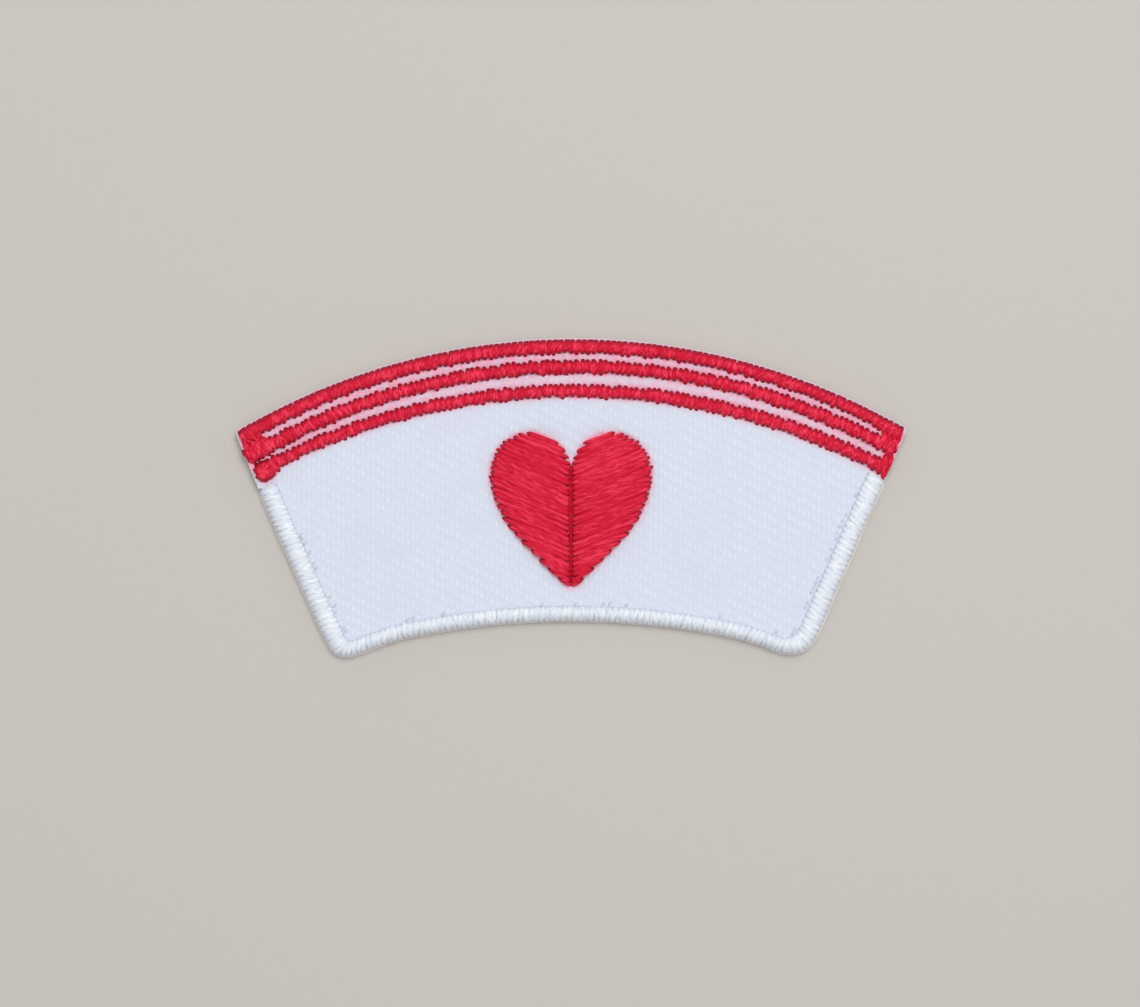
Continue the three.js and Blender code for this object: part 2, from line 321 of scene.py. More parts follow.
def redDistances(place):  # to each stripe and to the heart as a whole, the nearest first
    *stripes, left, right = [trees[node].find_nearest(place)[3] for node in redNodes]
    return sorted([*stripes, min(left, right)])


def puckered(place):  # how far the cloth lies above or below its flat top
    size = twill["puckerSize"]
    wave = noise.noise(Vector((place.x / size, place.y / size, twill["puckerSlice"])))
    pull = max(0, 1 - redDistances(place)[0] / twill["dipReach"])
    return wave * twill["pucker"] - pull * twill["dip"]


def redBounceAt(place):  # painted red bounce light of the red thread on the cloth beside it, and evenly between two stripes
    distances = redDistances(place)
    gap = distances[0] + distances[1]
    wide, narrow = twill["gapRedBounce"]
    even = between(narrow, wide, gap / twill["gap"]) if gap < twill["gap"] else 0
    return min(1, even + sum(math.exp(-distance / twill["redBounceReach"]) for distance in distances))


def borderShadeAt(place):  # painted shade in the valley beside the border
    distance = trees["edge_border"].find_nearest(place)[3]
    return max(0, 1 - distance / twill["borderShadeReach"]) ** twill["borderShadeFade"]


def cutLines(bm, low, high, axis):
    count = int((high - low) / twill["cell"])
    for i in range(1, count):
        place = Vector((0, 0, 0))
        place[axis] = low + (high - low) * i / count
        normal = Vector((0, 0, 0))
        normal[axis] = 1
        geometry = bm.verts[:] + bm.edges[:] + bm.faces[:]
        bmesh.ops.bisect_plane(bm, geom=geometry, dist=hair, plane_co=place, plane_no=normal)


def twillGround(material):
    bm = solidCopy("twill_ground")
    others = [face for face in bm.faces if face.normal.z < twill["flat"]]
    bmesh.ops.delete(bm, geom=others, context="FACES")
    bmesh.ops.dissolve_faces(bm, faces=bm.faces[:])
    bmesh.ops.translate(bm, verts=bm.verts, vec=(0, 0, -twill["shoulder"]))
    face = bm.faces[:]
    for inwards, upwards in twill["rounding"]:
        bmesh.ops.inset_region(
            bm, faces=face, thickness=inwards * twill["shoulder"], depth=upwards * twill["shoulder"],
            use_even_offset=True)
    cutLines(bm, clothLow.x, clothHigh.x, 0)
    cutLines(bm, clothLow.y, clothHigh.y, 1)
    rim = [edge for edge in bm.edges if edge.is_boundary]
    for mark in twillMarks:
        bm.verts.layers.float.new(mark)
    redBounce, borderShade, rib = [bm.verts.layers.float[mark] for mark in twillMarks]
    for vert in bm.verts:
        lift = (vert.co.z - clothTop + twill["shoulder"]) / twill["shoulder"]
        vert[redBounce] = redBounceAt(vert.co)
        vert[borderShade] = borderShadeAt(vert.co)
        vert[rib] = 0
        vert.co.z += puckered(vert.co) * max(0, min(1, lift))
    skirt = bmesh.ops.extrude_edge_only(bm, edges=rim)["geom"]
    skirtVerts = [part for part in skirt if isinstance(part, bmesh.types.BMVert)]
    for vert in skirtVerts:
        vert.co.z = film["thickness"] / 2
    bottom = [part for part in skirt if isinstance(part, bmesh.types.BMEdge) and part.is_boundary]
    bmesh.ops.contextual_create(bm, geom=bottom)
    bmesh.ops.recalc_face_normals(bm, faces=bm.faces)
    area = sum(face.calc_area() for face in bm.faces if face.normal.z > twill["sloped"])
    ground = finished(bm, "twillGround", material)
    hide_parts("twill_ground")
    return ground, area


def yarnMesh():  # a low dome over a flat underside; its y is the height until it is laid
    bm = bmesh.new()
    bmesh.ops.create_uvsphere(bm, u_segments=8, v_segments=4, radius=1)
    below = [vert for vert in bm.verts if vert.co.y < -hair]
    bmesh.ops.delete(bm, geom=below, context="VERTS")
    rim = [edge for edge in bm.edges if edge.is_boundary]
    for edge in rim:
        edge.smooth = False
    bmesh.ops.contextual_create(bm, geom=rim)
    bmesh.ops.recalc_face_normals(bm, faces=bm.faces)
    size = (twill["yarnHalfWidth"], twill["yarnHeight"], twill["yarnHalfLength"])
    bmesh.ops.scale(bm, verts=bm.verts, vec=size)
    mesh = bpy.data.meshes.new("yarn")
    bm.to_mesh(mesh)
    bm.free()
    return mesh


def inCloth(place, reach):
    ends = [place + Vector((x, y, 0)) for x, y in ((0, reach.y), (0, -reach.y), (reach.x, 0), (-reach.x, 0))]
    return all(topOf("twill_ground", end) is not None for end in ends)


def squeezed(place):
    nearest, second = redDistances(place)[:2]
    return nearest + second < twill["ribGap"]


def layYarn(bm, marks, yarn, place):
    place.z += puckered(place)
    lean = dice.uniform(-twill["lean"], twill["lean"])
    nearRed = redDistances(place)[0] < twill["redBounceNear"]
    tone = dice.uniform(*twill["toneRange"])
    borderShading = borderShadeAt(place)
    first = len(bm.verts)
    bm.from_mesh(yarn)
    bm.verts.ensure_lookup_table()
    for vert in bm.verts[first:]:
        across, high, along = vert.co
        vert.co = place + Vector((across + along * lean, along, high))
        # a yarn's painted highlight grows with its height over the cloth, times its random tone
        values = (redBounceAt(vert.co) if nearRed else 0, borderShading, high / twill["yarnHeight"] * tone)
        for mark, value in zip(marks, values):
            vert[mark] = value


def twillRibs(material):
    yarn = yarnMesh()
    bm, marks = newMesh(twillMarks)
    reach = Vector((twill["yarnHalfWidth"] + twill["clear"], twill["yarnHalfLength"] + twill["clear"]))
    columns = int(clothWidth / twill["column"] / 2)
    strayAcross, strayAlong = twill["scatter"]
    for i in range(-columns, columns + 1):
        shift = (i * twill["step"]) % twill["float"]
        for j in range(int(clothLength / twill["float"]) + 2):
            place = Vector((i * twill["column"], clothHigh.y - shift - (j - 0.5) * twill["float"], clothTop))
            place.x += dice.uniform(-strayAcross, strayAcross) * mm
            place.y += dice.uniform(-strayAlong, strayAlong) * mm
            if inCloth(place, reach) and not underStitching(place) and not squeezed(place):
                layYarn(bm, marks, yarn, place)
    bmesh.ops.recalc_face_normals(bm, faces=bm.faces)
    finished(bm, "twillRibs", material)
    bpy.data.meshes.remove(yarn)


# Backing: the film on the underside, cut with the patch and a little proud of it

film = {
    "thickness": 0.3 * mm,
    "proud": 0.12 * mm,
    "inset": 0.05 * mm,
    "ragged": 0.06 * mm,
    "raggedSize": 1.3 * mm,
    "step": 0.35 * mm,
    "evened": 2,  # how many steps each way its edge is evened out over
    "probe": 2 * mm,  # outside the cloth, from where the border's foot is looked for
    "probeReach": 2.1 * mm,
    "colour": (0.79, 0.735, 0.69, 1),
    "grainColour": (0.55, 0.51, 0.48, 1),
    "grainScale": 2200,
    "ridgeScale": (500, 4200, 1),
    "grainShare": 0.35,
    "roughness": 0.45,
    "grainRoughness": 0.2,  # what the grain adds to it
}


def filmFinish():
    finish = Finish("backingFilm")
    place = finish.place()
    grain = finish.speckle(place, film["grainScale"], detail=3)
    ridges = finish.speckle(finish.stretched(place, film["ridgeScale"]))
    return finish.wear(
        Base_Color=finish.mix(grain * film["grainShare"], film["colour"], film["grainColour"]),
        Roughness=film["roughness"] + grain * film["grainRoughness"],
        Normal=finish.bump(grain * 0.5 + ridges * 0.5, strength=0.3, distance=0.02 * mm),
        Specular_IOR_Level=0.35,
    )


def filmEdge():  # round the foot of the border, and under the cloth's own edge beside the stripes
    edge = walked(cutEdge(), film["step"])
    count = len(edge)
    ways = []
    reaches = []
    for k, place in enumerate(edge):
        along = edge[(k + 1) % count] - edge[k - 1]
        outwards = -up.cross(along).normalized()
        start = Vector((place.x, place.y, film["thickness"])) + outwards * film["probe"]
        hit = trees["edge_border"].ray_cast(start, -outwards, film["probeReach"])[0]
        loose = film["proud"] + noise.noise(place / film["raggedSize"]) * film["ragged"]
        ways.append(outwards)
        reaches.append(film["probe"] - (hit - start).length + loose if hit else -film["inset"])
    points = []
    for k, (place, outwards) in enumerate(zip(edge, ways)):
        near = [reaches[(k + i) % count] for i in range(-film["evened"], film["evened"] + 1)]
        points.append((place + outwards * sum(near) / len(near)).xy)
    return points


def backing(material):
    bm = bmesh.new()
    rim = [bm.verts.new((point.x, point.y, 0)) for point in filmEdge()]
    face = bm.faces.new(rim)
    side = bmesh.ops.extrude_face_region(bm, geom=[face])["geom"]
    raised = [part for part in side if isinstance(part, bmesh.types.BMVert)]
    bmesh.ops.translate(bm, verts=raised, vec=(0, 0, film["thickness"]))
    bmesh.ops.recalc_face_normals(bm, faces=bm.faces)
    for edge in bm.edges:
        edge.smooth = edge.calc_face_angle(0) < sharp
    finished(bm, "backingFilm", material)


# Thread: lustrous fibres, with painted glints in spots and painted shade where they go into the cloth

redTones = {
    "endShade": (0.26, 0.004, 0.022, 1),
    "body": (0.65, 0.011, 0.037, 1),
    "paintedGlint": (0.98, 0.055, 0.115, 1),
    "glintLength": 0.35,  # in millimetres
    "glintRange": (0.46, 0.62),
    "gloss": 0.25,
    "glossTint": (1, 0.25, 0.33, 1),
}
satinTones = dict(  # the heart's long stitches
    redTones,
    body=(0.66, 0.012, 0.040, 1),
    paintedGlint=(0.90, 0.045, 0.095, 1),
    glintLength=0.9,
    glintRange=(0.44, 0.66),
    gloss=0.22,
)
whiteTones = {
    "endShade": (0.61, 0.655, 0.75, 1),
    "body": (0.77, 0.815, 0.895, 1),
    "paintedGlint": (0.93, 0.955, 0.99, 1),
    "glintLength": 0.6,
    "glintRange": (0.44, 0.66),
    "gloss": 0.25,
    "glossTint": (1, 1, 1, 1),
}
lustre = {  # how fibres and painted glints lie on every thread; a place on it is given in half widths and millimetres
    "fibresAcross": 4,
    "fibresLean": 1.5,
    "glintsAcross": 1.5,
    "glintsLean": 1.2,
    "glintsAlong": 0.7,
    "apart": 60,  # in the noise, between the threads with the lowest and the highest shade
    "glintsApart": 30,  # and between fibres and glints
    # painted glints show only where the painted end shade has faded, over these shares of depth
    "litRange": (0.3, 0.95),
    "glintShare": 0.7,  # of how strongly a thread is painted with glints
    "streakShare": 0.15,
    "shadeShare": 0.15,
    "roughness": 0.4,
    "streakRoughness": 0.2,  # what the fibres add to it
}
# depth is 1 less the painted shade at a thread's ends
threadMarks = ["shade", "run", "across", "depth"]  # what a thread's finish reads from its mesh


def threadFinish(name, tones):
    finish = Finish(name)
    shade, run, across, depth = [finish.attribute(mark) for mark in threadMarks]
    seed = shade * lustre["apart"]
    fibres = finish.joined(across * lustre["fibresAcross"] + run * lustre["fibresLean"], run, seed)
    streaks = finish.speckle(fibres, detail=3, roughness=0.55)
    length = tones["glintLength"]
    lean = across * lustre["glintsAcross"] + run * (lustre["glintsLean"] / length)
    along = run * (lustre["glintsAlong"] / length)
    glints = finish.speckle(finish.joined(lean, along, seed + lustre["glintsApart"]), detail=1)
    # painted glints: bright spots painted on each thread, kept off its shaded ends
    paintedGlint = glints * lustre["glintShare"] + streaks * lustre["streakShare"] + shade * lustre["shadeShare"]
    tone = finish.spread(paintedGlint, *tones["glintRange"])
    lit = finish.mix(tone * finish.spread(depth, *lustre["litRange"]), tones["body"], tones["paintedGlint"])
    return finish.wear(
        # painted shade where the thread goes into the cloth
        Base_Color=finish.mix(finish.spread(depth, 0, 1), tones["endShade"], lit),
        Roughness=lustre["roughness"] + streaks * lustre["streakRoughness"],
        Normal=finish.bump(streaks, strength=0.35, distance=0.02 * mm),
        Specular_IOR_Level=tones["gloss"],
        Specular_Tint=tones["glossTint"],
    )


# One stitch: a flattened thread that leaves the cloth at one needle hole and goes down at the other

stitchShapes = {}


def stitchShape(sides, steps):
    if (sides, steps) in stitchShapes:
        return stitchShapes[sides, steps]
    bm = bmesh.new()
    bmesh.ops.create_cone(bm, cap_ends=True, segments=sides, radius1=1, radius2=1, depth=1)
    bmesh.ops.translate(bm, verts=bm.verts, vec=(0, 0, 0.5))
    lengths = [edge for edge in bm.edges if abs(edge.verts[0].co.z - edge.verts[1].co.z) > 0.5]
    bmesh.ops.subdivide_edges(bm, edges=lengths, cuts=steps - 1, use_grid_fill=True)
    mesh = bpy.data.meshes.new("stitch")
    bm.to_mesh(mesh)
    bm.free()
    stitchShapes[sides, steps] = mesh
    return mesh


def domePath(node, start, end, thread, lift, fall):
    length = (end - start).length
    steps = max(thread["fewestSteps"], round(length / thread["stepLength"]))
    across = up.cross(end - start).normalized()
    bow = dice.uniform(-1, 1) * thread["bow"]
    phase = dice.uniform(0, 2 * math.pi)
    path = []
    for k in range(steps + 1):
        share = k / steps - thread["crowding"] * math.sin(2 * math.pi * k / steps) / (2 * math.pi)
        place = start.lerp(end, share) + across * bow * math.sin(math.pi * share)
        near = min(share, 1 - share) * length
        wave = thread["wave"] * math.sin(phase + thread["twist"] * share * length)
        top = topOf(node, place) or clothTop
        crest = top - thread["thickness"] / 2 + (lift + wave - fall) * min(1, near / thread["taper"])
        hole = clothTop - thread["sink"]
        place.z = min(max(crest, clothTop), hole + thread["climb"] * near)
        path.append(place)
    return path


def wrapPath(node, outer, inner, thread, lift, fall):  # from under the cut edge, over the crest, to a hole
    way = inner - outer
    way.z = 0
    way.normalize()
    middle = outer + way * thread["crest"]
    middle.z = clothTop
    tucked = outer + way * thread["tuck"]
    tucked.z = thread["thickness"] * thread["tuckRise"]
    path = [tucked]
    for k in range(thread["wrapSteps"] + 1):
        angle = between(thread["fromAngle"], thread["toAngle"], k / thread["wrapSteps"])
        out = up * math.sin(angle) - way * math.cos(angle)
        hit, normal = trees[node].ray_cast(middle + out * thread["probe"], -out)[:2]
        if hit:
            raised = lift * max(0, math.sin(angle)) - fall
            path.append(hit - normal * (thread["thickness"] / 2 - raised))
    path.append(Vector((inner.x, inner.y, clothTop - thread["sink"])))
    return path


def threadFrames(path, thread, ends):  # place, half width, half thickness, run and depth (1 less its painted end shade) at each step
    steps = len(path) - 1
    runs = [0]
    flats = [0]  # the same lengths seen from above
    for start, end in zip(path, path[1:]):
        runs.append(runs[-1] + (end - start).length)
        flats.append(flats[-1] + (end - start).xy.length)
    way = path[-1] - path[0]
    side = up.cross(Vector((way.x, way.y, 0))).normalized()
    phase = dice.uniform(0, 2 * math.pi)
    wideness = 1 + dice.uniform(-1, 1) * thread["widthChange"]
    frames = []
    for k, (point, run, flat) in enumerate(zip(path, runs, flats)):
        tangent = (path[min(k + 1, steps)] - path[max(k - 1, 0)]).normalized()
        over = tangent.cross(side)
        fromEnd = flats[-1] - flat
        narrowing = min(1, fromEnd / thread["taper"])
        if not thread["wraps"]:
            narrowing = min(narrowing, flat / thread["nearTaper"])
        size = between(thread["endShare"], 1, narrowing)
        roll = thread["roll"] * math.sin(phase + thread["twist"] * run)
        wide = side * math.cos(roll) + over * math.sin(roll)
        thick = over * math.cos(roll) - side * math.sin(roll)
        darkness = [share * max(0, 1 - away / length) for away, (share, length) in zip((flat, fromEnd), ends)]
        wide *= thread["width"] / 2 * size * wideness
        frames.append((point, wide, thick * thread["thickness"] / 2 * size, run / mm, 1 - max(darkness)))
    return frames


def layStitch(bm, marks, path, thread, tone, ends):  # ends: how dark the painted shade at each end is, and for how long
    frames = threadFrames(path, thread, ends)
    steps = len(path) - 1
    first = len(bm.verts)
    bm.from_mesh(stitchShape(thread["sides"], steps))
    bm.verts.ensure_lookup_table()
    for vert in bm.verts[first:]:
        point, wide, thick, run, depth = frames[round(vert.co.z * steps)]
        across = vert.co.x
        vert.co = point + wide * vert.co.x + thick * vert.co.y
        for mark, value in zip(marks, (tone, run, across, depth)):
            vert[mark] = value


def sewnCore(bm, marks, node, thread):  # closes what shows between threads, painted darker there as shade
    core = solidCopy(node)
    core.normal_update()
    for vert in core.verts:
        raised = vert.co.z > clothTop + hair
        inwards = Vector((vert.normal.x, vert.normal.y, 0)) * thread["coreInset"]
        vert.co -= inwards
        if raised:
            vert.co.z = max(clothTop, vert.co.z - thread["coreDrop"])
    mesh = bpy.data.meshes.new("core")
    core.to_mesh(mesh)
    core.free()
    first = len(bm.verts)
    bm.from_mesh(mesh)
    bm.verts.ensure_lookup_table()
    for vert in bm.verts[first:]:
        for mark, value in zip(marks, (thread["coreShade"], 0, 0, thread["coreUnshaded"])):
            vert[mark] = value
    bpy.data.meshes.remove(mesh)


needleLevel = 0.03 * mm  # above the cloth, where a stitched solid's sides are met


def sew(bm, marks, node, holes, thread):
    for k, (start, end) in enumerate(zip(holes, holes[1:])):
        lively = between(1, thread["hemLively"], start["outwards"].y ** thread["hemPower"])
        lift = dice.uniform(-1, 1) * thread["unevenness"] + (thread["alternate"] if k % 2 else 0)
        lift *= lively
        fall = (start["fall"] + end["fall"]) / 2
        if start["far"]:
            start, end = end, start
        if thread["wraps"]:
            path = wrapPath(node, start["place"], end["place"], thread, lift, fall)
        else:
            path = domePath(node, start["place"], end["place"], thread, lift, fall)
        rolled = dict(thread, roll=thread["roll"] * lively, widthChange=thread["widthChange"] * lively)
        ends = [(share * hole["dark"], length) for hole, (share, length) in zip((start, end), thread["ends"])]
        layStitch(bm, marks, path, rolled, dice.random(), ends)


def sewnPiece(bm, node, material):
    bmesh.ops.recalc_face_normals(bm, faces=bm.faces)
    first, second = node.split("_")
    name = first + second.capitalize() + "Stitching"
    print(name, "sewn,", len(bm.faces), "faces")
    piece = finished(bm, name, material)
    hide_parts(node)


def crossings(node, start, direction, reach):  # where a level line enters and leaves a stitched solid
    level = Vector((start.x, start.y, clothTop + needleLevel))
    way = Vector((direction.x, direction.y, 0)).normalized()
    near = trees[node].ray_cast(level, way, reach)[0]
    far = trees[node].ray_cast(level + way * reach, -way, reach)[0]
    return near, far


def meets(node, place):  # whether other stitching is there; the lowest stripe's left end is tied off alone
    others = [other for other in stitchedNodes if other != node]
    if place.x < 0:
        others = [other for other in others if "stripe_bottom" not in (node, other)]
    return any(topOf(other, place) is not None for other in others)


def needleHoles(node, lines, thread):  # alternately on the near and on the far side
    holes = []
    for k, (start, direction, reach) in enumerate(lines):
        near, far = crossings(node, start, direction, reach)
        if near is None or far is None or (far - near).length < thread["shortest"]:
            continue
        isFar = bool(k % 2)
        hole = far if isFar else near
        edge = thread["farEdge" if isFar else "nearEdge"]
        outwards = (hole - (near + far) / 2).normalized()
        overhang = edge["overhang"] + dice.uniform(-1, 1) * edge["ragged"]
        joined = meets(node, hole + outwards * thread["joins"])
        if joined:
            overhang = thread["joins"]
        while overhang > 0 and topOf("twill_ground", hole + outwards * (overhang + thread["rim"])) is None:
            overhang -= thread["rimStep"]
        place = hole + outwards * overhang + up.cross(outwards) * dice.uniform(-1, 1) * thread["stray"]
        dark = thread["joinedDark"] if joined else 1
        holes.append({"place": place, "far": isFar, "outwards": outwards, "dark": dark})
    for k, hole in enumerate(holes):  # the row's ends are rounded down, and close up on their neighbours
        distance = min(k, len(holes) - 1 - k) * thread["pitch"] / 2
        hole["fall"] = thread["endFall"] * max(0, 1 - distance / thread["endRound"]) ** 2
        hole["place"] += hole["outwards"] * thread["endOverhang"] * max(0, 1 - distance / thread["endReach"])
    return holes


# Stripes: three bands of satin stitch, struck from the crown's own centre

crown = {"radius": 56.75 * mm, "shift": 0.2 * mm}
crownMiddle = Vector((crown["shift"], clothHigh.y - crown["radius"], clothTop))
stripeThread = {
    "wraps": False,
    "pitch": 0.495 * mm,  # between needle holes on one edge
    "reach": 12 * mm,  # of the lines along which holes are looked for
    "width": 0.45 * mm,
    "widthChange": 0.16,
    "thickness": 0.09 * mm,
    "taper": 0.32 * mm,  # a thread narrows over this length to its far needle hole
    "nearTaper": 0.32 * mm,  # and over this from its near one
    "endShare": 0.27,  # of its width is left there
    "joins": 0.34 * mm,  # its threads reach this far out to a neighbour that lies as close
    "joinedDark": 0.3,  # and their ends get only this much painted shade there
    "rim": 0.06 * mm,  # of bare cloth outside a needle hole
    "rimStep": 0.02 * mm,  # by which a hole moves in until it has that rim
    "sink": 0.12 * mm,
    "climb": 2.6,  # steepest rise from a needle hole
    "bow": 0.03 * mm,
    "wave": 0.008 * mm,
    "roll": 0.05,
    "twist": math.pi / (0.9 * mm),
    "unevenness": 0.008 * mm,
    "alternate": 0.004 * mm,
    "hemLively": 1,
    "hemPower": 4,  # the higher, the closer to straight up or down a hole faces where that counts
    "stray": 0.1 * mm,  # of a needle hole along its row
    "nearEdge": {"overhang": 0.11 * mm, "ragged": 0.1 * mm},
    "farEdge": {"overhang": 0.12 * mm, "ragged": 0.13 * mm},
    # painted shade at the near and the far needle hole: how dark, and for how long
    "ends": [(0.95, 0.6 * mm), (0.95, 0.45 * mm)],
    "shortest": 0.4 * mm,
    "stepLength": 0.17 * mm,
    "fewestSteps": 6,
    "crowding": 0.6,  # how much closer a thread's points lie at its ends than evenly spread
    "endRound": 0.5 * mm,
    "endFall": 0.25 * mm,
    "endReach": 2 * mm,
    "endOverhang": 0.06 * mm,
    "coreInset": 0.28 * mm,
    "coreDrop": 0.07 * mm,
    # the core that shows between the threads is painted darker, as shade
    "coreShade": 0.2,
    "coreUnshaded": 0.7,
    "sides": 6,
}
knot = {
    "along": 0.95 * mm,
    "up": 0.98 * mm,
    "radius": 1.0 * mm,
    "count": 10,
    "fan": 1.3,  # radians to each side
    "fanLoose": 0.1,
    "way": Vector((0.35, -0.94, 0)),
    "lift": 0.05 * mm,
    "loose": 0.06 * mm,
}
crownThread = dict(  # the top stripe's threads lie blunt and even along the cut edge
    stripeThread,
    nearTaper=0.1 * mm,
    nearEdge={"overhang": 0.1 * mm, "ragged": 0.03 * mm},
    stray=0.05 * mm,
    widthChange=0.08,
)
stripeSlants = {"stripe_top": 5, "stripe_middle": 20, "stripe_bottom": 11}  # degrees off the crown's radius


def stripeLines(node, thread, slant):
    places = [vert.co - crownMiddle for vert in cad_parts[node].data.vertices]
    angles = [math.atan2(place.x, place.y) for place in places]
    radii = [math.hypot(place.x, place.y) for place in places]
    middle = (min(radii) + max(radii)) / 2
    reach = thread["reach"]
    shift = (max(radii) - min(radii)) * math.tan(slant) / middle
    first, last = min(angles) - shift, max(angles) + shift
    count = round((last - first) * middle / (thread["pitch"] / 2))
    lines = []
    for k in range(count + 1):
        angle = between(first, last, k / count)
        out = Vector((math.sin(angle), math.cos(angle), 0))
        way = Matrix.Rotation(slant, 3, "Z") @ -out
        lines.append((crownMiddle + out * middle - way * reach / 2, way, reach))
    return lines


def tiedOff(bm, marks, thread):  # a fan of stitches over the lowest stripe's knotted end
    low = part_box("stripe_bottom")[0]
    middle = Vector((low.x + knot["along"], low.y + knot["up"], clothTop))
    for k in range(knot["count"]):
        angle = between(-knot["fan"], knot["fan"], k / (knot["count"] - 1))
        angle += dice.uniform(-knot["fanLoose"], knot["fanLoose"])
        reach = Matrix.Rotation(angle, 3, "Z") @ knot["way"] * knot["radius"]
        shift = Vector((dice.uniform(-1, 1), dice.uniform(-1, 1), 0)) * knot["loose"]
        start, end = middle - reach + shift, middle + reach + shift
        path = domePath("stripe_bottom", start, end, thread, knot["lift"], 0)
        layStitch(bm, marks, path, thread, dice.random(), thread["ends"])


def stripes(material):
    for node, slant in stripeSlants.items():
        bm, marks = newMesh(threadMarks)
        thread = crownThread if node == "stripe_top" else stripeThread
        sewnCore(bm, marks, node, thread)
        holes = needleHoles(node, stripeLines(node, thread, math.radians(slant)), thread)
        sew(bm, marks, node, holes, thread)
        if node == "stripe_bottom":
            tiedOff(bm, marks, stripeThread)
        sewnPiece(bm, node, material)


# Border: satin stitch that wraps the cut edge round the sides and the hem

borderThread = dict(
    stripeThread,
    wraps=True,
    joins=0,
    pitch=0.47 * mm,
    reach=3.8 * mm,
    lead=1 * mm,  # of a line's start outside the cut edge
    width=0.52 * mm,
    thickness=0.1 * mm,
    crest=0.65 * mm,  # inside the outer needle line
    tuck=0.05 * mm,  # inwards from that line, under the cut edge
    tuckRise=1.2,  # thicknesses above the underside
    probe=4 * mm,  # from the crest, to where rays back onto the solid start
    wrapSteps=12,
    fromAngle=math.radians(-48),
    toAngle=math.radians(166),
    roll=0.06,
    unevenness=0.008 * mm,
    alternate=0.008 * mm,
    hemLively=4.5,  # the hem's threads lie this much less evenly than the sides'
    widthChange=0.09,
    taper=0.3 * mm,
    endShare=0.2,
    stray=0.05 * mm,
    sink=0.06 * mm,
    nearEdge={"overhang": 0, "ragged": 0.02 * mm},
    farEdge={"overhang": 0.04 * mm, "ragged": 0.08 * mm},
    # painted shade down the outer slope and at the inner needle hole
    ends=[(0.1, 0.9 * mm), (0.05, 0.25 * mm)],
    slant=math.radians(20),
    slantSize=4 * mm,  # the stitches' slant changes over about this length
    smoothing=1.2 * mm,
    dimpleShare=0.5,
    strayDimpleShare=0.06,
    dimpleLow=-1.5 * mm,  # the side edges get painted pit shades below this height
    dimpleLength=0.36 * mm,
    dimpleWidth=0.24 * mm,
    dimpleThickness=0.02 * mm,
    dimpleTaper=0.12 * mm,
    dimpleGap=0.2,  # in millimetres, from a needle hole
    dimpleShares=(0.35, 0.6),  # of the length are the shortest's and the longest's halves
    dimpleTurn=0.3,
    dimplePath=(-1, -0.6, 0, 0.6, 1),
    dimpleEnd=(0.95, 8 * mm),
    dimpleShade=0.5,
    sidewards=0.75,  # a hole that faces out to the side more than this is on a side edge
    dimpleWay=Vector((1, 1.2, 0)).normalized(),
    coreInset=0.06 * mm,
    coreDrop=0.07 * mm,
    coreUnshaded=0.9,
    endFall=0.12 * mm,
    endOverhang=0,
)


def borderLines(thread):
    edge = walked(cutEdge(), thread["pitch"] / 2)
    count = len(edge)
    window = round(thread["smoothing"] / (thread["pitch"] / 2))
    lines = []
    for k, place in enumerate(edge):
        along = edge[(k + window) % count] - edge[k - window]
        slant = noise.noise(place / thread["slantSize"]) * thread["slant"]
        inwards = Matrix.Rotation(slant, 3, "Z") @ up.cross(along).normalized()
        lines.append((place - inwards * thread["lead"], inwards, thread["reach"]))
    return lines


def paintedPitShades(bm, marks, holes, thread):  # painted shade of the needle's pulls in the cloth inside the border, as thin dark marks laid on it
    pull = dict(thread, width=thread["dimpleWidth"], thickness=thread["dimpleThickness"])
    pull["taper"] = thread["dimpleTaper"]
    for hole in holes:
        isSide = abs(hole["outwards"].x) > thread["sidewards"] and hole["place"].y < thread["dimpleLow"]
        if dice.random() > thread["dimpleShare" if isSide else "strayDimpleShare"]:
            continue
        middle = hole["place"] + hole["outwards"] * thread["dimpleGap"] * mm
        middle.z = clothTop + puckered(middle) + twill["yarnHeight"]
        reach = thread["dimpleWay"] * thread["dimpleLength"] * dice.uniform(*thread["dimpleShares"])
        turn = dice.uniform(-thread["dimpleTurn"], thread["dimpleTurn"])
        reach.rotate(Matrix.Rotation(turn, 3, "Z"))
        path = [middle + reach * share for share in thread["dimplePath"]]
        layStitch(bm, marks, path, pull, thread["dimpleShade"], [thread["dimpleEnd"]] * 2)


def border(material):
    bm, marks = newMesh(threadMarks)
    sewnCore(bm, marks, "edge_border", borderThread)
    holes = needleHoles("edge_border", borderLines(borderThread), borderThread)
    sew(bm, marks, "edge_border", holes, borderThread)
    paintedPitShades(bm, marks, [hole for hole in holes if hole["far"]], borderThread)
    sewnPiece(bm, "edge_border", material)


# Heart: two halves of long slanted stitches that meet in a furrow over a straight underlay

